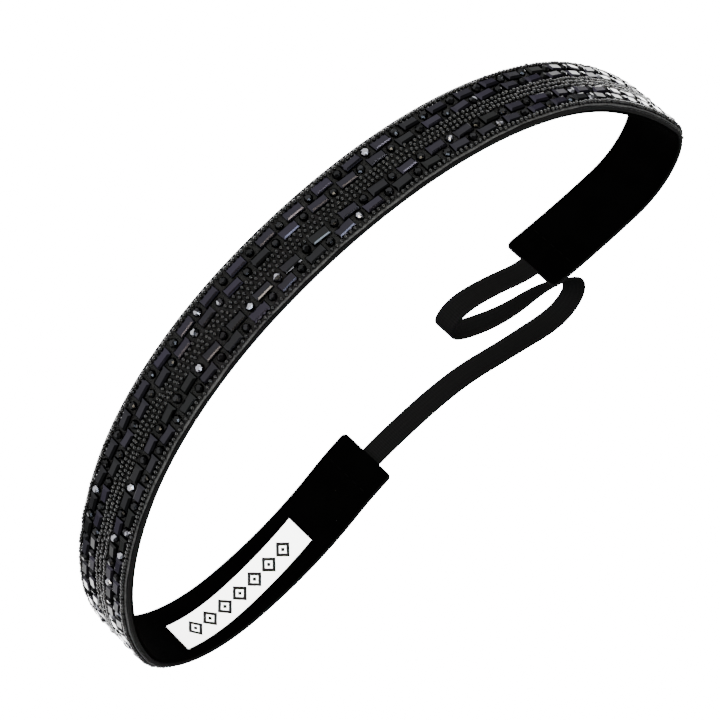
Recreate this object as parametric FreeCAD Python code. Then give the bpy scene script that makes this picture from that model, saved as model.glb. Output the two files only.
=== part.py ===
"""Sports headband: velvet-lined ribbon with a beaded rhinestone trim, closed by a narrow elastic.

The band stands on its lower long edge.  X runs from the plain end to the label end, the near
side of the loop with its stones faces -Y, and +Z runs across the width of the band.
All sizes are in millimetres.
"""
import FreeCAD, Part
import math
import os

os.makedirs("parts", exist_ok=True)

Vector = FreeCAD.Vector

# ---- driving dimensions -------------------------------------------------------------------

band_width = 16.0            # five eighths of an inch
edge_inset = 0.3             # lining and trim stay this far inside the ribbon's long edges
corner_radius = 1.2          # at the free ends of lining and ribbon

# Each layer lies between two distances, measured outwards from the lining's inner face.
lining_layer = (0.0, 0.86)
ribbon_layer = (0.9, 1.76)
tape_layer = (1.8, 2.06)
stone_seat = 2.1

# The loop seen from above, as a walk from the plain end round to the label end.
# Each stretch is an arc: its length, and how far it turns left in degrees.
loop_start = (-39.7, 32.4)
loop_heading = 159.8
loop_stretches = [
    (27.0, 9.5),             # plain tail
    (27.0, 110.0),           # plain-end shoulder, the tightest bend
    (36.5, 12.5),            # side
    (102.5, 67.5),           # crown, plain-end half
    (51.0, 44.0),            # crown, label-end half
    (64.0, 39.5),            # side
    (37.5, 77.5),            # label-end shoulder
    (34.0, 32.0),            # stretch that carries the label
    (12.6, -13.5),           # label tail
]
crown_split = 190.0          # distance along the loop of the flex line between the two halves
split_gap = 0.3

# Rhinestone trim.
stone_pitch = 7.67           # one baguette and one round stone
first_baguette = 0.7         # distance along the loop of the first baguette of rows 1 and 3
row_stagger = -4.5           # rows 2 and 4 sit this far along from rows 1 and 3
row_heights = (2.85, 5.25, 10.75, 13.15)
baguette_length = 4.4
baguette_width = 2.2
baguette_height = 1.15
baguette_bevel = 0.35
round_stone_radius = 0.95
round_stone_height = 1.1
round_stone_girdle = 0.45
trim_end_margin = 1.5

bead_diameter = 1.0
centre_bead_heights = (6.85, 8.0, 9.15)
lower_bead_heights = (1.25,)
upper_bead_heights = (14.75,)

# Elastic, a flat strip on edge, stitched between lining and ribbon at both tails.
elastic_width = 5.5
elastic_thickness = 0.8
elastic_rise = 1.0           # degrees that it climbs towards the label tail
pocket_clearance = 0.15
elastic_route = [            # from the end of one stitched tab to the end of the other
    (-50.9, 37.0),
    (-43.6, 34.75),
    (-37.2, 32.4),           # just outside the plain tail
    (-29.4, 23.6),
    (-21.2, 16.4),           # first fold
    (-15.3, 17.2),
    (-14.5, 22.6),
    (-19.1, 31.0),
    (-28.6, 41.6),
    (-39.0, 48.6),
    (-45.9, 57.8),           # second fold
    (-44.5, 66.4),
    (-36.4, 69.2),
    (-24.7, 59.0),
    (-5.8, 44.7),
    (12.7, 40.0),
    (24.5, 39.1),            # inside the label tail
    (30.3, 40.4),
]

# Label, blank.
label_from = 327.0
label_to = 368.3
label_bottom = 5.0
label_top = 12.7
label_layer = (-0.35, -0.05)

# Seam that holds each elastic tab.
seam_from_end = 7.0
seam_stitches = 5
stitch_length = 1.7
stitch_radius = 0.2


# ---- walks made of arcs -------------------------------------------------------------------

def point_at(walk, distance, offset=0.0):
    """Place and heading at a distance along a walk, moved outwards (to the right) by offset."""
    x, y, heading, stretches = walk
    left = distance
    for number, (length, turn) in enumerate(stretches):
        last = number == len(stretches) - 1
        part = left if (last or left < length) else length
        turned = math.radians(turn) * part / length
        # the chord of an arc points half-way between its first and last headings
        half = turned / 2.0
        chord = part * (math.sin(half) / half if abs(half) > 1e-9 else 1.0)
        x += chord * math.cos(heading + half)
        y += chord * math.sin(heading + half)
        heading += turned
        left -= part
        if part < length or last:
            break
    return x + offset * math.sin(heading), y - offset * math.cos(heading), heading


def walk_along(route):
    """The walk of straight runs joined by tangent arcs that goes round the corners of a route."""
    runs = [(b[0] - a[0], b[1] - a[1]) for a, b in zip(route, route[1:])]
    lengths = [math.hypot(*run) for run in runs]
    headings = [math.atan2(run[1], run[0]) for run in runs]
    stretches = []
    radii = []
    taken = 0.0
    for number in range(len(runs) - 1):
        turn = (headings[number + 1] - headings[number] + math.pi) % (2.0 * math.pi) - math.pi
        tangent = 0.45 * min(lengths[number], lengths[number + 1])
        radius = tangent / math.tan(abs(turn) / 2.0)
        stretches.append((lengths[number] - taken - tangent, 0.0))
        stretches.append((radius * abs(turn), math.degrees(turn)))
        radii.append(round(radius, 1))
        taken = tangent
    stretches.append((lengths[-1] - taken, 0.0))
    print("radii along the elastic:", radii)
    return route[0][0], route[0][1], headings[0], stretches


def stations(walk, first, last):
    """The ends of a length of walk and every change of curvature between them."""
    found = [first]
    reached = 0.0
    for length, _turn in walk[3]:
        reached += length
        if first + 1e-6 < reached < last - 1e-6:
            found.append(reached)
    found.append(last)
    return found


def side_edges(walk, marks, offset):
    """One side of a strip: an arc or a line for every stretch between marks."""
    edges = []
    for begin, end in zip(marks, marks[1:]):
        ends = [Vector(*point_at(walk, place, offset)[:2], 0) for place in (begin, (begin + end) / 2, end)]
        straight = (ends[1] - (ends[0] + ends[2]) * 0.5).Length < 1e-5
        if straight:
            edges.append(Part.makeLine(ends[0], ends[2]))
        else:
            edges.append(Part.Arc(*ends).toShape())
    return edges


def strip(walk, first, last, layer, bottom, top):
    """A flat strip standing on edge that follows a walk."""
    marks = stations(walk, first, last)
    near = side_edges(walk, marks, layer[0])
    far = side_edges(walk, marks, layer[1])
    caps = []
    for place in (first, last):
        ends = [Vector(*point_at(walk, place, offset)[:2], 0) for offset in layer]
        caps.append(Part.makeLine(*ends))
    outline = Part.Wire(Part.__sortEdges__(near + far + caps))
    solid = Part.Face(outline).extrude(Vector(0, 0, top - bottom))
    solid.translate(Vector(0, 0, bottom))
    return solid


def placed(shape, walk, distance, offset, height):
    """A copy of a small piece modelled facing -Y, set on the outer face of the band."""
    x, y, heading = point_at(walk, distance, offset)
    copy = shape.copy()
    copy.rotate(Vector(0, 0, 0), Vector(0, 0, 1), math.degrees(heading))
    copy.translate(Vector(x, y, height))
    return copy


def save(node, solids):
    shape = solids[0] if len(solids) == 1 else Part.makeCompound(solids)
    shape.exportStep("parts/%s.step" % node)


loop = (loop_start[0], loop_start[1], math.radians(loop_heading), loop_stretches)
loop_length = sum(length for length, _turn in loop_stretches)

elastic = walk_along(elastic_route)
elastic_length = sum(length for length, _turn in elastic[3])
elastic_foot = -39.4         # across the plain tail's end, where the climb begins

halves = {
    "left": (0.0, crown_split - split_gap / 2.0),
    "right": (crown_split + split_gap / 2.0, loop_length),
}


# ---- layers -------------------------------------------------------------------------------

def elastic_strip(clearance):
    half = elastic_thickness / 2.0 + clearance
    low = (band_width - elastic_width) / 2.0 - clearance
    high = (band_width + elastic_width) / 2.0 + clearance
    flat = strip(elastic, 0.0, elastic_length, (-half, half), low, high)
    flat.rotate(Vector(elastic_foot, 0, band_width / 2.0), Vector(0, -1, 0), elastic_rise)
    return flat


def corners_rounded(solid, layer, end):
    """Round the two corners of a layer at its free end."""
    x, y, _heading = point_at(loop, end, (layer[0] + layer[1]) / 2.0)
    thickness = layer[1] - layer[0]
    edges = []
    for edge in solid.Edges:
        middle = edge.CenterOfMass
        level = abs(edge.Vertexes[0].Z - edge.Vertexes[-1].Z) < 1e-6
        if level and math.hypot(middle.x - x, middle.y - y) < thickness / 4.0:
            edges.append(edge)
    return solid.makeFillet(corner_radius, edges)


def layers():
    pocket = elastic_strip(pocket_clearance)
    free_ends = {"left": 0.0, "right": loop_length}
    for side, (first, last) in halves.items():
        lining = strip(loop, first, last, lining_layer, edge_inset, band_width - edge_inset)
        ribbon = strip(loop, first, last, ribbon_layer, 0.0, band_width)
        lining = corners_rounded(lining, lining_layer, free_ends[side])
        ribbon = corners_rounded(ribbon, ribbon_layer, free_ends[side])
        save("velvet_lining_" + side, [lining.cut(pocket)])
        save("base_ribbon_" + side, [ribbon.cut(pocket)])
        begin = max(first, trim_end_margin)
        end = min(last, loop_length - trim_end_margin)
        save("trim_tape_" + side, [strip(loop, begin, end, tape_layer, edge_inset, band_width - edge_inset)])


# ---- rhinestone trim ----------------------------------------------------------------------

def baguette():
    """Rectangular stone with a bevelled crown."""
    block = Part.makeBox(baguette_length, baguette_height, baguette_width)
    block.translate(Vector(-baguette_length / 2.0, -baguette_height, -baguette_width / 2.0))
    crown = [edge for edge in block.Edges if all(v.Y < -baguette_height + 1e-6 for v in edge.Vertexes)]
    return block.makeChamfer(baguette_bevel, crown)


def round_stone():
    """Round flat-backed stone: a short girdle under a bevelled crown."""
    radius = round_stone_radius
    profile = Part.makePolygon([
        Vector(0, 0, 0),
        Vector(radius, 0, 0),
        Vector(radius, 0, round_stone_girdle),
        Vector(radius * 0.55, 0, round_stone_height),
        Vector(0, 0, round_stone_height),
        Vector(0, 0, 0),
    ])
    stone = Part.Face(profile).revolve(Vector(0, 0, 0), Vector(0, 0, 1), 360)
    stone.rotate(Vector(0, 0, 0), Vector(1, 0, 0), 90)
    return stone


def row_places(row):
    """Distances of a row's baguettes along the loop."""
    begin = first_baguette + (row_stagger if row % 2 else 0.0)
    count = int(loop_length / stone_pitch) + 2
    return [begin + number * stone_pitch for number in range(count)]


def stone_row(shape, half_length, shift, row):
    """The stones of one row, sorted into the two halves of the band."""
    sorted_stones = {side: [] for side in halves}
    for place in row_places(row):
        centre = place + shift
        inside = trim_end_margin + half_length < centre < loop_length - trim_end_margin - half_length
        if inside:
            side = "left" if centre < crown_split else "right"
            sorted_stones[side].append(placed(shape, loop, centre, stone_seat, row_heights[row]))
    return sorted_stones


def stones():
    for row in range(len(row_heights)):
        baguettes = stone_row(baguette(), baguette_length / 2.0, 0.0, row)
        rounds = stone_row(round_stone(), round_stone_radius, stone_pitch / 2.0, row)
        for side in halves:
            save("baguettes_row_%d_%s" % (row + 1, side), baguettes[side])
            save("round_stones_row_%d_%s" % (row + 1, side), rounds[side])


def bead_strands():
    """Strands of seed beads, each a closed strip as thick as its beads."""
    groups = {
        "lower_edge_beads": lower_bead_heights,
        "centre_beads": centre_bead_heights,
        "upper_edge_beads": upper_bead_heights,
    }
    layer = (stone_seat, stone_seat + bead_diameter)
    reach = bead_diameter * 0.42
    for name, heights in groups.items():
        for side, (first, last) in halves.items():
            begin = max(first, trim_end_margin)
            end = min(last, loop_length - trim_end_margin)
            strands = [strip(loop, begin, end, layer, middle - reach, middle + reach) for middle in heights]
            save("%s_%s" % (name, side), strands)


# ---- elastic, label and seams -------------------------------------------------------------

def elastic_strap():
    save("elastic_strap", [elastic_strip(0.0)])


def blank_label():
    save("satin_label", [strip(loop, label_from, label_to, label_layer, label_bottom, label_top)])


def tab_seams():
    """Rows of thread across each tail, standing on the lining's inner face."""
    spacing = (band_width - 3.0) / seam_stitches
    places = {"left": seam_from_end, "right": loop_length - seam_from_end}
    for side, distance in places.items():
        x, y, _heading = point_at(loop, distance, lining_layer[0] - stitch_radius - 0.02)
        threads = []
        for number in range(seam_stitches):
            middle = 1.5 + spacing * (number + 0.5)
            base = Vector(x, y, middle - stitch_length / 2.0)
            threads.append(Part.makeCylinder(stitch_radius, stitch_length, base))
        save("tab_seam_" + side, threads)


layers()
stones()
bead_strands()
elastic_strap()
blank_label()
tab_seams()
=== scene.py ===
"""Looks of the beaded sports headband: velvet, ribbon, rhinestone trim, elastic and label.

Everything on the band is made flat, as it is before the band is bent: X runs along the band,
-Y is its outer side and Z runs across its width.  bend_round_loop then lays it on the loop.
"""
import math
import random

import bpy
import numpy as np
from mathutils import Matrix, Vector


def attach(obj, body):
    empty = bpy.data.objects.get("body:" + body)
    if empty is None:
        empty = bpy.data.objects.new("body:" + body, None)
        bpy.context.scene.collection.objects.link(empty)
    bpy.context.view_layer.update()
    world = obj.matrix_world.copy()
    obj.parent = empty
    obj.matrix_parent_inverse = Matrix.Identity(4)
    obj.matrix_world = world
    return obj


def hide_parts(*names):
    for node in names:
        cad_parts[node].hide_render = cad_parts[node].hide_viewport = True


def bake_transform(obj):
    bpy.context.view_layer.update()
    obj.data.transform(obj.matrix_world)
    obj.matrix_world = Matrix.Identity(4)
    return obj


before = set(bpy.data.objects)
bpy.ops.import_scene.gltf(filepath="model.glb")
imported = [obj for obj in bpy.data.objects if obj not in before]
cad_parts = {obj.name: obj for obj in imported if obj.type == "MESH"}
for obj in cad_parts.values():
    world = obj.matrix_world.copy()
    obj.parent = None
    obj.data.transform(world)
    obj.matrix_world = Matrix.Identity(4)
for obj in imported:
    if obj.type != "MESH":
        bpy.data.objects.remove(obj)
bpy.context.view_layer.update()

MM = 0.001
MIDDLE = "label_half"        # the body that stays put
SWINGING = "plain_half"

# ---- sizes, in millimetres ----------------------------------------------------------------

band_width = 16.0
edge_inset = 0.3
lining_layer = (0.0, 0.86)
ribbon_layer = (0.9, 1.76)
tape_layer = (1.8, 2.06)
stone_seat = 2.06

loop_start = (-39.7, 32.4)
loop_heading = 159.8
loop_stretches = [           # length, and how far the stretch turns left in degrees
    (27.0, 9.5),
    (27.0, 110.0),
    (36.5, 12.5),
    (102.5, 67.5),
    (51.0, 44.0),
    (64.0, 39.5),
    (37.5, 77.5),
    (34.0, 32.0),
    (12.6, -13.5),
]
loop_length = sum(length for length, _turn in loop_stretches)
trim_ends = (1.5, loop_length - 1.5)

stone_pitch = 7.67
first_baguette = 0.7
row_stagger = -4.5
row_heights = (2.85, 5.25, 10.75, 13.15)
baguette_size = (4.4, 0.9, 2.2)
round_stone_radius = 1.0
bead_diameter = 1.0

elastic_width = 5.5
elastic_thickness = 0.8
elastic_rise = math.tan(math.radians(1.0))   # climbs towards the label tail
elastic_route = [
    (-50.9, 37.0),
    (-43.6, 34.75),
    (-37.2, 32.4),
    (-29.4, 23.6),
    (-21.2, 16.4),
    (-15.3, 17.2),
    (-14.5, 22.6),
    (-19.1, 31.0),
    (-28.6, 41.6),
    (-39.0, 48.6),
    (-45.9, 57.8),
    (-44.5, 66.4),
    (-36.4, 69.2),
    (-24.7, 59.0),
    (-5.8, 44.7),
    (12.7, 40.0),
    (24.5, 39.1),
    (30.3, 40.4),
]
elastic_exit = (-39.4, 33.2)

label_span = (327.0, 368.3)
label_heights = (5.0, 12.7)
label_layer = (-0.35, -0.05)
label_skew = 0.045           # fall per length, as it is sewn on a little askew
seam_inset = 7.0             # from the end of the band


# ---- shader maths -------------------------------------------------------------------------

class Finish:
    """A material under construction; node() adds any node and returns one of its outputs."""

    def __init__(self, name, **constants):
        self.material = bpy.data.materials.new(name)
        self.material.use_nodes = True
        self.tree = self.material.node_tree
        self.surface = self.tree.nodes["Principled BSDF"]
        for socket, value in constants.items():
            self.surface.inputs[socket.replace("_", " ")].default_value = value

    def node(self, kind, settings=None, output=0, **sockets):
        made = self.tree.nodes.new(kind)
        for key, value in (settings or {}).items():
            setattr(made, key, value)
        for key, value in sockets.items():
            which = int(key[1:]) if key[1:].isdigit() else key.replace("_", " ")
            self.join(value, made.inputs[which])
        return Signal(self, made.outputs[output])

    def join(self, value, socket):
        if isinstance(value, Signal):
            self.tree.links.new(value.socket, socket)
        else:
            socket.default_value = value

    def set(self, socket, value):
        self.join(value, self.surface.inputs[socket])

    def bump(self, height, distance, strength=1.0):
        self.set("Normal", self.node("ShaderNodeBump", Height=height, Distance=distance, Strength=strength))

    def blend_colours(self, amount, low, high):
        return self.node("ShaderNodeMix", {"data_type": "RGBA"}, output=2, _0=amount, _6=low, _7=high)


class Signal:
    """A socket that takes part in arithmetic."""

    def __init__(self, finish, socket):
        self.finish = finish
        self.socket = socket

    def math(self, operation, first, second):
        return self.finish.node("ShaderNodeMath", {"operation": operation}, _0=first, _1=second)

    def __add__(self, other):
        return self.math("ADD", self, other)

    def __sub__(self, other):
        return self.math("SUBTRACT", self, other)

    def __rsub__(self, other):
        return self.math("SUBTRACT", other, self)

    def __mul__(self, other):
        return self.math("MULTIPLY", self, other)

    def __truediv__(self, other):
        return self.math("DIVIDE", self, other)

    def __lt__(self, other):
        return self.math("LESS_THAN", self, other)

    def absolute(self):
        return self.math("ABSOLUTE", self, 0.0)

    __radd__ = __add__
    __rmul__ = __mul__


def grey(value, blue=0.0):
    return (value, value, value * (1.0 + blue), 1.0)


# ---- finishes -----------------------------------------------------------------------------

def velvet_finish():
    """Short dense pile: almost no light comes back except at grazing angles."""
    finish = Finish("black velvet", Roughness=1.0, Specular_IOR_Level=0.0,
                    Sheen_Weight=0.001, Sheen_Roughness=0.4, Sheen_Tint=grey(0.5))
    place = finish.node("ShaderNodeTexCoord", output=3)
    pile = finish.node("ShaderNodeTexNoise", Vector=place, Scale=5200.0, Detail=3.0, Roughness=0.7)
    brushed = finish.node("ShaderNodeTexNoise", Vector=place, Scale=160.0, Detail=2.0)
    finish.set("Base Color", finish.blend_colours(brushed, grey(0.00003), grey(0.00012)))
    finish.bump(pile, 0.00015, 0.8)
    return finish.material


def ribbon_finish():
    """Grosgrain: fine ribs across the ribbon."""
    finish = Finish("black grosgrain", Specular_IOR_Level=0.003, Sheen_Weight=0.001, Sheen_Roughness=0.5)
    flat = finish.node("ShaderNodeUVMap", {"uv_map": "Flat"})
    ribs = finish.node("ShaderNodeTexWave", {"bands_direction": "X"}, Vector=flat, Scale=520.0,
                       Distortion=1.2, Detail=2.0, Detail_Scale=3.0)
    fibres = finish.node("ShaderNodeTexNoise", Vector=flat, Scale=9000.0, Detail=2.0)
    uneven = finish.node("ShaderNodeTexNoise", Vector=flat, Scale=180.0, Detail=3.0)
    tone_and_glint_mottle = ribs * 0.6 + uneven * 0.4
    finish.set("Base Color", finish.blend_colours(tone_and_glint_mottle, grey(0.0001), grey(0.0009, 0.05)))
    finish.set("Roughness", 0.75 - fibres * 0.2)
    finish.bump(ribs * 0.8 + fibres * 0.2, 0.00012, 0.9)
    return finish.material


def tape_finish():
    """Net pressed into a layer of dark glue, with a painted highlight: a paler line along the upper edge,
    where the glue layer stands up.
    """
    finish = Finish("net and glue tape", Specular_IOR_Level=0.012)
    flat = finish.node("ShaderNodeUVMap", {"uv_map": "Flat"})
    mesh = finish.node("ShaderNodeTexVoronoi", {"feature": "DISTANCE_TO_EDGE"}, Vector=flat, Scale=1500.0)
    pooled = finish.node("ShaderNodeTexNoise", Vector=flat, Scale=700.0, Detail=3.0)
    across = finish.node("ShaderNodeSeparateXYZ", output=1, Vector=flat)
    # painted highlight: a thin paler line along the upper edge of the tape, broken up by the glue noise
    painted_edge_highlight = finish.node("ShaderNodeMapRange", {"interpolation_type": "SMOOTHSTEP"},
                       Value=across, From_Min=0.0171, From_Max=0.0174)
    glue = finish.blend_colours(pooled, grey(0.0004), grey(0.0020))
    finish.set("Base Color", finish.blend_colours(painted_edge_highlight * pooled, glue, grey(0.012)))
    finish.set("Roughness", 0.35 + pooled * 0.4)
    finish.bump(mesh * 6.0 + pooled, 0.0001, 0.7)
    return finish.material


def stone_finish(name, dark, light, glint_share=0.0):
    """Jet glass with a mirror back, so it reflects like a very dark metal; every stone has its
    own depth of colour from the Stone attribute, and on a share of them random patches get
    a brighter mirror colour as painted glints."""
    finish = Finish(name, Metallic=1.0, Specular_Tint=grey(0.5))
    own = finish.node("ShaderNodeAttribute", {"attribute_name": "Stone"}, output=2)
    place = finish.node("ShaderNodeTexCoord", output=3)
    cloud = finish.node("ShaderNodeTexNoise", Vector=place, Scale=900.0, Detail=2.0)
    scratches = finish.node("ShaderNodeTexNoise", Vector=place, Scale=7000.0, Detail=1.0)
    glass = finish.blend_colours(own * 0.75 + cloud * 0.25, dark, light)
    # painted glint: this noise and the Stone number pick random patches that get a brighter mirror colour
    tone_and_glint_mottle = finish.node("ShaderNodeTexNoise", Vector=place, Scale=420.0, Detail=0.0)
    painted_glint_patch = (1.0 - own < glint_share) * (1.0 - tone_and_glint_mottle < 0.52)
    finish.set("Base Color", finish.blend_colours(painted_glint_patch, glass, grey(0.03, 0.1)))
    finish.set("Roughness", 0.06 + own * 0.08 + cloud * 0.05)
    finish.bump(scratches, 0.000004, 0.4)
    return finish.material


def bead_finish():
    finish = Finish("black seed beads", Specular_IOR_Level=0.03, IOR=1.5)
    own = finish.node("ShaderNodeAttribute", {"attribute_name": "Stone"}, output=2)
    place = finish.node("ShaderNodeTexCoord", output=3)
    cloud = finish.node("ShaderNodeTexNoise", Vector=place, Scale=1800.0, Detail=2.0)
    finish.set("Base Color", finish.blend_colours(own, grey(0.0001), grey(0.0006)))
    finish.set("Roughness", 0.14 + cloud * 0.16)
    return finish.material


def elastic_finish():
    """Woven elastic: lengthwise ribs crossed by a fine weft."""
    finish = Finish("black woven elastic", Specular_IOR_Level=0.0)
    flat = finish.node("ShaderNodeUVMap", {"uv_map": "Flat"})
    ribs = finish.node("ShaderNodeTexWave", {"bands_direction": "Y"}, Vector=flat, Scale=320.0,
                       Distortion=0.4, Detail=1.0)
    weft = finish.node("ShaderNodeTexWave", {"bands_direction": "X"}, Vector=flat, Scale=560.0,
                       Distortion=1.5, Detail=2.0, Detail_Scale=4.0)
    fibres = finish.node("ShaderNodeTexNoise", Vector=flat, Scale=6000.0, Detail=3.0)
    weave = ribs * 0.1 + weft * 0.3 + fibres * 0.6
    finish.set("Base Color", finish.blend_colours(weave, grey(0.0002), grey(0.0011)))
    finish.set("Roughness", 0.85 - weft * 0.15)
    finish.bump(weave, 0.00008, 0.7)
    return finish.material


def satin_finish():
    """White woven satin label with a plain row of woven lozenges, each with a dot inside."""
    finish = Finish("white satin label", Specular_IOR_Level=0.01)
    flat = finish.node("ShaderNodeUVMap", {"uv_map": "Flat"})
    warp = finish.node("ShaderNodeTexWave", {"bands_direction": "Y"}, Vector=flat, Scale=1500.0,
                       Distortion=2.0, Detail=2.0, Detail_Scale=2.0)
    grain = finish.node("ShaderNodeTexNoise", Vector=flat, Scale=3800.0, Detail=3.0)
    frayed = finish.node("ShaderNodeTexNoise", Vector=flat, Scale=2600.0, Detail=1.0)
    along = finish.node("ShaderNodeSeparateXYZ", output=0, Vector=flat)
    across = finish.node("ShaderNodeSeparateXYZ", output=1, Vector=flat)
    half_length, half_height = 0.0024, 0.0026      # of one lozenge, in metres
    from_middle = (along - sum(label_span) / 2.0 * MM).absolute()
    repeat = finish.node("ShaderNodeMath", {"operation": "PINGPONG"}, _0=from_middle, _1=half_length)
    row_middle = (sum(label_heights) / 2.0 - 0.3) * MM
    reach = repeat / half_length + (across - row_middle).absolute() / half_height
    reach = reach + (frayed - 0.5) * 0.12
    outline = (reach - 0.73).absolute() < 0.22
    dot = reach < 0.24
    woven = (outline + dot) * (from_middle < 7 * half_length)
    white = finish.blend_colours(warp * 0.5 + grain * 0.5, grey(0.28), grey(0.5))
    finish.set("Base Color", finish.blend_colours(woven, white, grey(0.0015)))
    finish.set("Roughness", 0.45 + grain * 0.25)
    finish.bump(warp * 0.6 + grain * 0.4 + woven * 0.5, 0.00006, 0.6)
    return finish.material


def thread_finish():
    finish = Finish("black thread", Specular_IOR_Level=0.0)
    place = finish.node("ShaderNodeTexCoord", output=3)
    twist = finish.node("ShaderNodeTexWave", {"bands_direction": "DIAGONAL"}, Vector=place, Scale=1400.0)
    finish.set("Base Color", finish.blend_colours(twist, grey(0.00005), grey(0.0003)))
    finish.set("Roughness", 0.6 + twist * 0.2)
    finish.bump(twist, 0.00005, 0.8)
    return finish.material


def floor_finish():
    finish = Finish("pale floor", Roughness=1.0, Specular_IOR_Level=0.0, Emission_Strength=12.0,
                    Emission_Color=grey(1.0), Base_Color=grey(0.8))
    return finish.material


# ---- modelling ----------------------------------------------------------------------------

def deselect():
    if bpy.context.object and bpy.context.object.mode != "OBJECT":
        bpy.ops.object.mode_set(mode="OBJECT")
    bpy.ops.object.select_all(action="DESELECT")


def select_only(piece):
    deselect()
    piece.select_set(True)
    bpy.context.view_layer.objects.active = piece


def block(name, low, high):
    """A box between two corners given in millimetres."""
    deselect()
    size = [(b - a) * MM for a, b in zip(low, high)]
    middle = [(a + b) / 2.0 * MM for a, b in zip(low, high)]
    bpy.ops.mesh.primitive_cube_add(size=1.0, location=middle)
    piece = bpy.context.object
    piece.name = piece.data.name = name
    piece.scale = size
    bpy.ops.object.transform_apply(location=True, rotation=False, scale=True)
    return piece


def edit(piece, kind, wanted):
    """Enter edit mode with only the wanted edges or faces selected."""
    select_only(piece)
    bpy.ops.object.mode_set(mode="EDIT")
    bpy.ops.mesh.select_mode(type=kind)
    bpy.ops.mesh.select_all(action="DESELECT")
    bpy.ops.object.mode_set(mode="OBJECT")
    parts = piece.data.edges if kind == "EDGE" else piece.data.polygons
    for part in parts:
        part.select = bool(wanted(part))
    bpy.ops.object.mode_set(mode="EDIT")


def done():
    bpy.ops.object.mode_set(mode="OBJECT")


def runs_along(piece, axis):
    """A test for edges that run along one axis."""
    corners = piece.data.vertices

    def wanted(side):
        step = corners[side.vertices[1]].co - corners[side.vertices[0]].co
        return step.length > 0 and abs(step[axis]) > 0.99 * step.length
    return wanted


def flat_strip(name, first, last, layer, heights, corner, soften, along, across):
    """A flat strip of cloth with rounded corners at its free ends and softened long edges."""
    piece = block(name, (first, -layer[1], heights[0]), (last, -layer[0], heights[1]))
    if corner:
        edit(piece, "EDGE", runs_along(piece, 1))
        bpy.ops.mesh.bevel(offset=corner * MM, segments=5, affect="EDGES")
        done()
    rims = set()
    for face in piece.data.polygons:
        if abs(face.normal.y) > 0.5:
            rims.update(tuple(sorted(key)) for key in face.edge_keys)
    edit(piece, "EDGE", lambda side: tuple(sorted(side.vertices)) in rims)
    bpy.ops.mesh.bevel(offset=soften * MM, segments=2, affect="EDGES")
    done()
    cross_cuts(piece, 0, first, last, along)
    cross_cuts(piece, 2, heights[0], heights[1], across)
    return piece


def cross_cuts(piece, axis, first, last, count):
    """Cut a strip straight across at even steps, so that it can bend there."""
    select_only(piece)
    bpy.ops.object.mode_set(mode="EDIT")
    direction = [0.0, 0.0, 0.0]
    direction[axis] = 1.0
    for number in range(1, count):
        point = [0.0, 0.0, 0.0]
        point[axis] = (first + (last - first) * number / count) * MM
        bpy.ops.mesh.select_all(action="SELECT")
        bpy.ops.mesh.bisect(plane_co=point, plane_no=direction)
    done()


def loop_places(distances):
    """Place and heading along the loop, in millimetres, for an array of distances."""
    x = np.full(distances.shape, loop_start[0])
    y = np.full(distances.shape, loop_start[1])
    heading = np.full(distances.shape, math.radians(loop_heading))
    left = distances.copy()
    for number, (length, turn) in enumerate(loop_stretches):
        part = left if number == len(loop_stretches) - 1 else np.minimum(left, length)
        turned = math.radians(turn) * part / length
        half = turned / 2.0
        chord = part * np.sinc(half / math.pi)
        x = x + chord * np.cos(heading + half)
        y = y + chord * np.sin(heading + half)
        heading = heading + turned
        left = left - part
    return x, y, heading


def coordinates(piece):
    flat = np.empty(len(piece.data.vertices) * 3)
    piece.data.vertices.foreach_get("co", flat)
    return flat.reshape(-1, 3)


def keep_flat_map(piece):
    """Store the flat shape, in metres along and across the band, as the piece's UV map."""
    flat = coordinates(piece)
    corners = np.empty(len(piece.data.loops), int)
    piece.data.loops.foreach_get("vertex_index", corners)
    for old in list(piece.data.uv_layers):
        piece.data.uv_layers.remove(old)
    layer = piece.data.uv_layers.new(name="Flat")
    across = flat[corners, 2] - flat[corners, 1]
    layer.data.foreach_set("uv", np.column_stack([flat[corners, 0], across]).ravel())


def bend_round_loop(piece, centres=None):
    """Lay a flat piece on the loop; with centres, each small stone keeps its own shape."""
    flat = coordinates(piece) / MM
    hold = flat[:, 0] if centres is None else centres
    x, y, heading = loop_places(hold)
    along = flat[:, 0] - hold
    out = -flat[:, 1]
    bent = np.column_stack([
        x + out * np.sin(heading) + along * np.cos(heading),
        y - out * np.cos(heading) + along * np.sin(heading),
        flat[:, 2],
    ])
    piece.data.vertices.foreach_set("co", (bent * MM).ravel())
    piece.data.update()


def finish_piece(piece, material, nodes, smooth=35.0):
    """Give a finished piece its material and shading, and hide the CAD nodes it stands for."""
    piece.data.materials.clear()
    piece.data.materials.append(material)
    select_only(piece)
    bpy.ops.object.mode_set(mode="EDIT")
    bpy.ops.mesh.select_all(action="SELECT")
    bpy.ops.mesh.normals_make_consistent(inside=False)
    done()
    if smooth:
        bpy.ops.object.shade_smooth_by_angle(angle=math.radians(smooth))
    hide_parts(*nodes)
    deselect()


def flexes_at_crown(piece):
    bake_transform(piece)


def both(name):
    return (name + "_left", name + "_right")


# ---- camera, floor and light --------------------------------------------------------------

def camera():
    """A long lens, low in front of the band and rolled well over."""
    view_centre = Vector((3.28, 16.40, 0.0)) * MM
    distance = 636.0 * MM
    side = math.radians(0.21)
    height = math.radians(22.83)
    roll = math.radians(227.12)
    right = Vector((math.cos(side), math.sin(side), 0.0))
    towards = Vector((-math.sin(side) * math.cos(height), math.cos(side) * math.cos(height),
                      -math.sin(height)))
    place = view_centre - towards * distance
    up = right.cross(towards)
    across = right * math.cos(roll) - up * math.sin(roll)
    upwards = right * math.sin(roll) + up * math.cos(roll)
    data = bpy.data.cameras.new("camera")
    data.sensor_width = 36.0
    data.lens = 140.6
    data.clip_start = 0.01
    taker = bpy.data.objects.new("camera", data)
    bpy.context.collection.objects.link(taker)
    turned = Matrix((across, upwards, -towards)).transposed().to_4x4()
    taker.matrix_world = Matrix.Translation(place) @ turned
    bpy.context.scene.camera = taker


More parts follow.
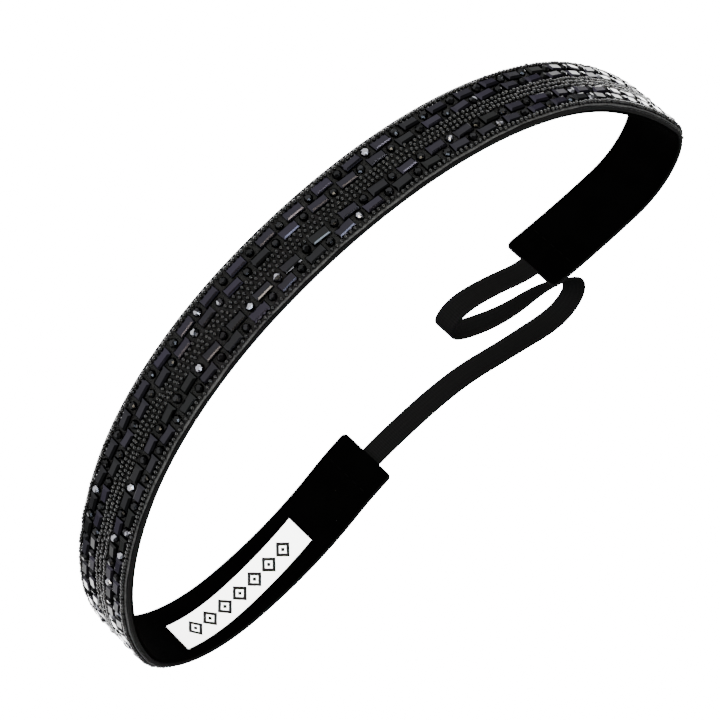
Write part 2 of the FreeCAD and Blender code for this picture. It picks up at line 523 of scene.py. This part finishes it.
def floor():
    deselect()
    bpy.ops.mesh.primitive_plane_add(size=8.0, location=(0.0, 0.0, 0.0))
    ground = bpy.context.object
    ground.name = "floor"
    ground.data.materials.append(floor_finish())


def soft_box(name, place, aim, size, power, colour=(1.0, 1.0, 1.0)):
    data = bpy.data.lights.new(name, "AREA")
    data.shape = "RECTANGLE"
    data.size, data.size_y = size
    data.energy = power
    data.color = colour
    light = bpy.data.objects.new(name, data)
    bpy.context.collection.objects.link(light)
    light.location = place
    light.rotation_euler = (Vector(aim) - Vector(place)).to_track_quat("-Z", "Y").to_euler()


def lights():
    world = bpy.data.worlds.new("studio")
    world.use_nodes = True
    world.node_tree.nodes["Background"].inputs["Color"].default_value = (1.0, 1.0, 1.0, 1.0)
    world.node_tree.nodes["Background"].inputs["Strength"].default_value = 3.0
    bpy.context.scene.world = world
    soft_box("overhead", (0.1, -0.25, 1.2), (0.0, 0.0, 0.0), (0.4, 0.3), 22.0)
    soft_box("warm strip", (-0.1, -0.95, 0.62), (0.0, -0.04, 0.0), (1.5, 0.035), 90.0, (1.0, 0.9, 0.7))
    soft_box("cool strip", (0.0, -0.75, 0.78), (0.0, -0.04, 0.0), (1.7, 0.04), 80.0, (0.75, 0.86, 1.0))
    soft_box("left spark", (-0.8, -0.5, 0.5), (0.0, -0.02, 0.0), (0.06, 0.06), 8.0)
    soft_box("right spark", (0.75, -0.6, 0.3), (0.0, -0.02, 0.0), (0.06, 0.06), 8.0)
    soft_box("high spark", (-0.25, -0.3, 1.0), (0.0, -0.02, 0.0), (0.08, 0.08), 9.0)


# ---- cloth layers -------------------------------------------------------------------------

def lining(velvet):
    piece = flat_strip("velvet_lining", 0.0, loop_length, lining_layer,
                       (edge_inset, band_width - edge_inset), 1.3, 0.25, 260, 10)
    keep_flat_map(piece)
    bend_round_loop(piece)
    finish_piece(piece, velvet, both("velvet_lining"))
    flexes_at_crown(piece)


def base_ribbon(grosgrain):
    piece = flat_strip("base_ribbon", 0.0, loop_length, ribbon_layer, (0.0, band_width), 1.2, 0.2, 260, 10)
    keep_flat_map(piece)
    bend_round_loop(piece)
    finish_piece(piece, grosgrain, both("base_ribbon"))
    flexes_at_crown(piece)


def trim_tape(net):
    """The trim's backing; its two long edges wander a little and lift off the ribbon in places."""
    piece = flat_strip("trim_tape", trim_ends[0], trim_ends[1], tape_layer,
                       (edge_inset, band_width - edge_inset), 0.6, 0.06, 390, 12)
    keep_flat_map(piece)
    flat = coordinates(piece)
    across = (flat[:, 2] / MM - band_width / 2.0) / (band_width / 2.0)
    wander = np.sin(flat[:, 0] * 260.0) + np.sin(flat[:, 0] * 611.0 + 1.0) + np.sin(flat[:, 0] * 97.0 + 2.0)
    outer = np.clip(np.abs(across) - 0.85, 0.0, 1.0) / 0.15
    flat[:, 2] -= np.sign(across) * outer * (0.25 + 0.07 * wander) * MM
    flat[:, 1] -= outer * (0.06 + 0.03 * wander) * MM
    piece.data.vertices.foreach_set("co", flat.ravel())
    bend_round_loop(piece)
    finish_piece(piece, net, both("trim_tape"))
    flexes_at_crown(piece)


# ---- stones and beads ---------------------------------------------------------------------

def raise_crown(piece, bevels):
    """Facet the outer face of a stone: each bevel goes in and then up, in millimetres."""
    edit(piece, "FACE", lambda face: face.normal.y < -0.9)
    for inset, rise in bevels:
        bpy.ops.mesh.inset(thickness=inset * MM, depth=0.0)
        bpy.ops.transform.translate(value=(0.0, -rise * MM, 0.0))
    done()


def shape_baguette():
    """Rectangular stone with a step-cut crown: two bevels round a narrow table."""
    length, height, width = baguette_size
    bevels = ((0.2, 0.22), (0.28, 0.17))     # how far in, how far up
    girdle = height - sum(rise for _inset, rise in bevels)
    piece = block("baguette", (-length / 2.0, -girdle, -width / 2.0), (length / 2.0, 0.0, width / 2.0))
    raise_crown(piece, bevels)
    return piece


def shape_round_stone():
    """Flat-backed round stone: girdle, eight crown facets and a table."""
    deselect()
    radius = round_stone_radius * MM
    bpy.ops.mesh.primitive_cylinder_add(vertices=8, radius=radius, depth=0.5 * MM,
                                        location=(0.0, -0.25 * MM, 0.0), rotation=(math.pi / 2.0, 0.0, 0.0))
    piece = bpy.context.object
    piece.name = piece.data.name = "round_stone"
    bpy.ops.object.transform_apply(location=True, rotation=True, scale=True)
    raise_crown(piece, ((round_stone_radius * 0.2, 0.34), (round_stone_radius * 0.3, 0.26)))
    return piece


def shape_bead():
    """Seed bead, a little flatter along its thread."""
    deselect()
    bpy.ops.mesh.primitive_uv_sphere_add(segments=10, ring_count=6, radius=bead_diameter / 2.0 * MM,
                                         rotation=(0.0, math.pi / 2.0, 0.0))
    piece = bpy.context.object
    piece.name = piece.data.name = "bead"
    piece.scale = (1.0, 1.0, 0.86)
    bpy.ops.object.transform_apply(location=True, rotation=True, scale=True)
    return piece


def string_up(name, shape, places, wobble, dome=0.0):
    """One mesh of many copies of a small shape, each at its place along, out and across the flat
    band, turned and scaled a little, with its own number in the Stone attribute."""
    rng = random.Random(name)
    base = coordinates(shape)
    faces = [tuple(face.vertices) for face in shape.data.polygons]
    points, polygons, numbers, centres = [], [], [], []
    for along, out, height, spin in places:
        turn = (Matrix.Rotation(math.radians(dome + rng.gauss(0.0, wobble[0])), 3, "X")
                @ Matrix.Rotation(math.radians(rng.gauss(0.0, wobble[1]) + spin), 3, "Y")
                @ Matrix.Rotation(math.radians(rng.gauss(0.0, wobble[0])), 3, "Z"))
        size = 1.0 + rng.gauss(0.0, wobble[2])
        copy = base @ np.array(turn).T * size + np.array([along, -out, height]) * MM
        start = len(points) * len(base)
        points.append(copy)
        polygons.extend(tuple(start + corner for corner in face) for face in faces)
        numbers.append(rng.random())
        centres.append(along)
    mesh = bpy.data.meshes.new(name)
    mesh.from_pydata(np.concatenate(points).tolist(), [], polygons)
    own = mesh.attributes.new("Stone", "FLOAT", "POINT")
    own.data.foreach_set("value", np.repeat(numbers, len(base)).astype(np.float32))
    piece = bpy.data.objects.new(name, mesh)
    bpy.context.collection.objects.link(piece)
    bend_round_loop(piece, np.repeat(centres, len(base)))
    return piece


def row_places(row, shift, half):
    begin = first_baguette + (row_stagger if row % 2 else 0.0)
    for number in range(int(loop_length / stone_pitch) + 2):
        centre = begin + number * stone_pitch + shift
        if trim_ends[0] + half < centre < trim_ends[1] - half:
            yield centre


def stone_rows(jet, round_jet):
    baguette = shape_baguette()
    rounded = shape_round_stone()
    rng = random.Random(7)
    for row, height in enumerate(row_heights):
        dome = (band_width / 2.0 - height) * 0.7     # degrees; the trim is slightly domed across
        name = "baguettes_row_%d" % (row + 1)
        places = [(centre + rng.gauss(0.0, 0.1), stone_seat, height + rng.gauss(0.0, 0.05), 0.0)
                  for centre in row_places(row, 0.0, baguette_size[0] / 2.0)]
        piece = string_up(name, baguette, places, (2.8, 1.8, 0.015), dome)
        finish_piece(piece, jet, both(name), smooth=0)
        flexes_at_crown(piece)
        name = "round_stones_row_%d" % (row + 1)
        places = [(centre + rng.gauss(0.0, 0.12), stone_seat, height + rng.gauss(0.0, 0.1),
                   rng.uniform(0.0, 45.0))
                  for centre in row_places(row, stone_pitch / 2.0, round_stone_radius)]
        piece = string_up(name, rounded, places, (5.0, 0.0, 0.03), dome)
        finish_piece(piece, round_jet, both(name), smooth=0)
        flexes_at_crown(piece)
    bpy.data.objects.remove(baguette)
    bpy.data.objects.remove(rounded)


def bead_columns(gloss):
    bead = shape_bead()
    out = stone_seat + bead_diameter * 0.44
    groups = {
        "lower_edge_beads": ((1.25,), 1.14, 0.1),
        "centre_beads": ((6.9, 8.0, 9.1), 1.16, 0.13),
        "upper_edge_beads": ((14.75,), 1.2, 0.1),
    }
    for name, (heights, spacing, scatter) in groups.items():
        rng = random.Random(name)
        places = []
        for column, height in enumerate(heights):
            along = trim_ends[0] + 0.5 + column * spacing * 0.5
            while along < trim_ends[1] - 0.5:
                places.append((along, out + rng.gauss(0.0, 0.03), height + rng.gauss(0.0, scatter), 0.0))
                along += spacing * rng.uniform(0.94, 1.12)
        piece = string_up(name, bead, places, (8.0, 8.0, 0.04))
        finish_piece(piece, gloss, both(name), smooth=60.0)
        flexes_at_crown(piece)
    bpy.data.objects.remove(bead)


# ---- elastic, label and seams -------------------------------------------------------------

def route_line():
    """The elastic's centre line, read from one smooth curve through its route."""
    curve = bpy.data.curves.new("elastic_line", "CURVE")
    curve.dimensions = "3D"
    curve.resolution_u = 12
    spline = curve.splines.new("NURBS")
    spline.points.add(len(elastic_route) - 1)
    for point, (x, y) in zip(spline.points, elastic_route):
        height = band_width / 2.0 + elastic_rise * (x - elastic_exit[0])
        point.co = (x * MM, y * MM, height * MM, 1.0)
    spline.order_u = 3
    spline.use_endpoint_u = True
    holder = bpy.data.objects.new("elastic_line", curve)
    bpy.context.collection.objects.link(holder)
    line = bpy.data.meshes.new_from_object(holder)
    points = [vertex.co.copy() for vertex in line.vertices]
    bpy.data.objects.remove(holder)
    bpy.data.meshes.remove(line)
    return points


def elastic_strap(woven):
    """The flat strap: a strip made straight, then laid along the line on its edge."""
    line = route_line()
    steps = np.array([(b - a).length for a, b in zip(line, line[1:])])
    reach = np.concatenate([[0.0], np.cumsum(steps)])
    length = reach[-1] / MM
    half = elastic_thickness / 2.0
    edge = elastic_width / 2.0
    piece = flat_strip("woven_elastic", 0.0, length, (-half, half), (-edge, edge), 0, 0.18, 380, 8)
    keep_flat_map(piece)
    flat = coordinates(piece)
    track = np.array(line)
    x, y, z = (np.interp(flat[:, 0], reach, track[:, axis]) for axis in range(3))
    ahead = np.gradient(track, reach, axis=0)
    step_x = np.interp(flat[:, 0], reach, ahead[:, 0])
    step_y = np.interp(flat[:, 0], reach, ahead[:, 1])
    size = np.hypot(step_x, step_y)
    # the run between the two folds leans over, and the strap is never quite flat
    turning = np.clip((flat[:, 0] / reach[-1] - 0.28) / 0.42, 0.0, 1.0)
    lean = math.radians(45.0) * np.sin(turning * math.pi) ** 2
    side = flat[:, 1] * np.cos(lean) + flat[:, 2] * np.sin(lean)
    rise = flat[:, 2] * np.cos(lean) - flat[:, 1] * np.sin(lean)
    rise = rise + 0.12 * MM * np.sin(flat[:, 0] * 210.0) * np.sin(flat[:, 0] * math.pi / reach[-1])
    laid = np.column_stack([x - side * step_y / size, y + side * step_x / size, z + rise])
    piece.data.vertices.foreach_set("co", laid.ravel())
    finish_piece(piece, woven, ("elastic_strap",))
    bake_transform(piece)


def satin_label(satin):
    piece = flat_strip("sewn_label", label_span[0], label_span[1], label_layer, label_heights,
                       0, 0.05, 60, 8)
    keep_flat_map(piece)
    flat = coordinates(piece)
    flat[:, 2] -= (flat[:, 0] - sum(label_span) / 2.0 * MM) * label_skew
    piece.data.vertices.foreach_set("co", flat.ravel())
    bend_round_loop(piece)
    finish_piece(piece, satin, ("satin_label",))
    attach(piece, MIDDLE)


def tab_seams(thread):
    """Short tight stitches, each sunk a little into the pile."""
    for side, distance, body in (("left", seam_inset, SWINGING),
                                 ("right", loop_length - seam_inset, MIDDLE)):
        deselect()
        name = "tab_seam_" + side
        spacing = (band_width - 3.0) / 5.0
        threads = []
        for number in range(5):
            middle = 1.5 + spacing * (number + 0.5)
            bpy.ops.mesh.primitive_uv_sphere_add(segments=10, ring_count=8, radius=0.2 * MM,
                                                 location=(distance * MM, 0.12 * MM, middle * MM))
            stitch = bpy.context.object
            stitch.scale = (1.0, 0.9, 4.2)
            bpy.ops.object.transform_apply(location=True, rotation=True, scale=True)
            threads.append(stitch)
        for stitch in threads:
            stitch.select_set(True)
        bpy.context.view_layer.objects.active = threads[0]
        bpy.ops.object.join()
        piece = bpy.context.object
        piece.name = piece.data.name = name
        bend_round_loop(piece)
        finish_piece(piece, thread, (name,), smooth=60.0)
        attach(piece, body)


camera()
floor()
lights()
lining(velvet_finish())
base_ribbon(ribbon_finish())
trim_tape(tape_finish())
stone_rows(
    stone_finish("jet baguettes", (0.0014, 0.0015, 0.0013, 1.0), (0.0028, 0.0025, 0.0036, 1.0)),
    # the last number is the share of round stones with painted glint patches
    stone_finish("jet round stones", (0.0012, 0.0012, 0.0012, 1.0), (0.0026, 0.0026, 0.0028, 1.0), 0.22),
)
bead_columns(bead_finish())
elastic_strap(elastic_finish())
satin_label(satin_finish())
tab_seams(thread_finish())
